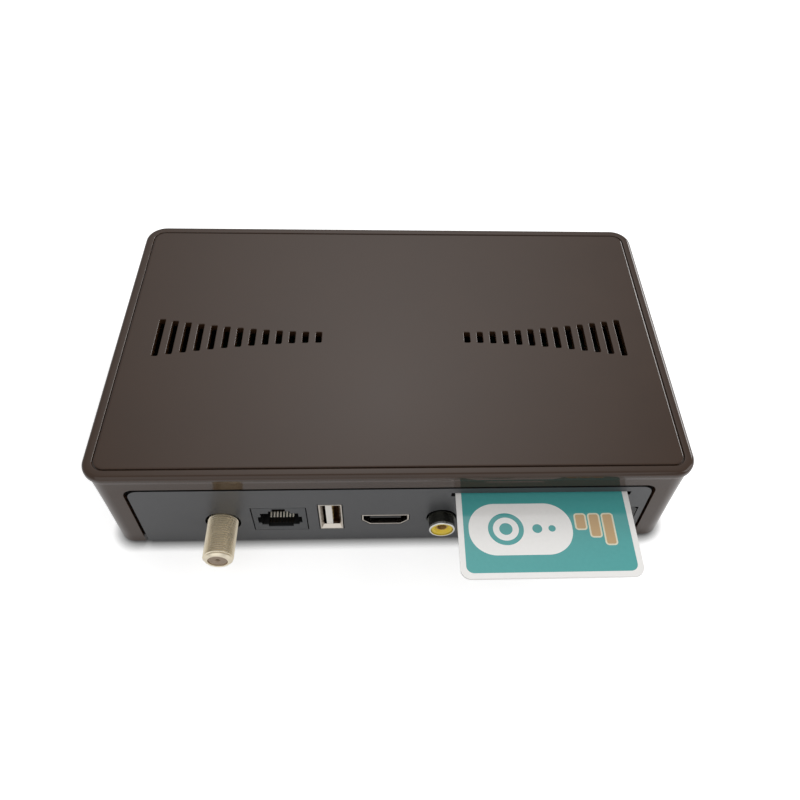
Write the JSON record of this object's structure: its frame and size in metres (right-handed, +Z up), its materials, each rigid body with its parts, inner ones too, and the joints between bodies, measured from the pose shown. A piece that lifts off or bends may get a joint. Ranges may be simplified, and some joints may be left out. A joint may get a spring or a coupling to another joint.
{
  "type": "satellite receiver",
  "caption": "Flat desktop satellite receiver with louvred glossy cover, rear socket panel, reader with a sliding card, front display and push buttons.",
  "frame": {"origin": "centre of the whole object's plan, on the surface that the feet stand on", "axes": "+Z up, +Y towards the rear socket panel, +X to the right as seen from the front"},
  "size_m": [0.184, 0.1406, 0.0413],
  "materials": {
    "gloss_case": "polished brown-black moulding",
    "tray_plastic": "fine sparked texture",
    "panel_plastic": "matte dark grey",
    "smoked_window": "smoked acrylic",
    "foot_rubber": "matte",
    "zinc_steel": "bright zinc",
    "circuit_board": "green solder mask",
    "tinned_steel": "tinned",
    "nickel": "warm nickel plate",
    "antenna_core": "moulded",
    "gilt_metal": "thin gold plate",
    "socket_grey": "matte grey",
    "white_plastic": "satin",
    "black_plastic": "satin",
    "chromed_metal": "bright nickel plate",
    "yellow_plastic": "satin",
    "card_print": "laminated print",
    "brass": "machined",
    "chip_black": "moulded epoxy",
    "pad_grey": "soft pad",
    "black_aluminium": "black anodised",
    "capacitor_sleeve": "shrunk sleeve",
    "choke_grey": "ferrite",
    "display_face": "dark lens",
    "green_light": "diffused",
    "button_plastic": "polished",
    "switch_plunger": "satin"
  },
  "bodies": {
    "receiver": {"top_cover": "gloss_case", "base_tray": "tray_plastic", "rear_panel": "panel_plastic", "front_panel": "gloss_case", "display_window": "smoked_window", "rubber_feet": "foot_rubber", "case_screws": "zinc_steel", "main_board": "circuit_board", "board_screws": "zinc_steel", "tuner_can": "tinned_steel", "antenna_connector": "nickel", "antenna_insulator": "antenna_core", "antenna_contact": "gilt_metal", "network_socket": "socket_grey", "network_contacts": "gilt_metal", "network_transformer": "chip_black", "data_port_shell": "tinned_steel", "data_port_insert": "white_plastic", "data_port_contacts": "gilt_metal", "video_socket_shell": "tinned_steel", "video_socket_insert": "black_plastic", "phono_jack_body": "black_plastic", "phono_jack_barrel": "chromed_metal", "phono_jack_insulator": "yellow_plastic", "phono_jack_contact": "chromed_metal", "power_jack": "black_plastic", "power_jack_pin": "chromed_metal", "card_reader_frame": "black_plastic", "card_reader_contacts": "gilt_metal", "card_reader_board": "circuit_board", "board_spacers": "brass", "board_link_pins": "gilt_metal", "board_link_strips": "black_plastic", "processor": "chip_black", "thermal_pad": "pad_grey", "heatsink": "black_aluminium", "memory_chips": "chip_black", "flash_chip": "chip_black", "capacitors": "capacitor_sleeve", "power_chokes": "choke_grey", "clock_crystal": "tinned_steel", "front_board": "circuit_board", "front_board_header": "black_plastic", "display_module": "display_face", "infrared_receiver": "black_plastic", "status_light": "green_light", "push_switches": "black_plastic"},
    "card": {"smart_card": "card_print", "card_chip_plate": "gilt_metal"},
    "standby_key": {"standby_button": "button_plastic", "standby_plunger": "switch_plunger"},
    "channel_up_key": {"channel_up_button": "button_plastic", "channel_up_plunger": "switch_plunger"},
    "channel_down_key": {"channel_down_button": "button_plastic", "channel_down_plunger": "switch_plunger"}
  },
  "joints": [
    {"name": "card_slide", "type": "slide", "parent": "receiver", "child": "card", "axis": [0, 1, 0], "range_m": [0, 0.06]},
    {"name": "standby_press", "type": "slide", "parent": "receiver", "child": "standby_key", "axis": [0, 1, 0], "range_m": [0, 0.0006], "stiffness_N_per_m": 400, "springref_m": -0.0012},
    {"name": "channel_up_press", "type": "slide", "parent": "receiver", "child": "channel_up_key", "axis": [0, 1, 0], "range_m": [0, 0.0006], "stiffness_N_per_m": 400, "springref_m": -0.0012},
    {"name": "channel_down_press", "type": "slide", "parent": "receiver", "child": "channel_down_key", "axis": [0, 1, 0], "range_m": [0, 0.0006], "stiffness_N_per_m": 400, "springref_m": -0.0012}
  ]
}
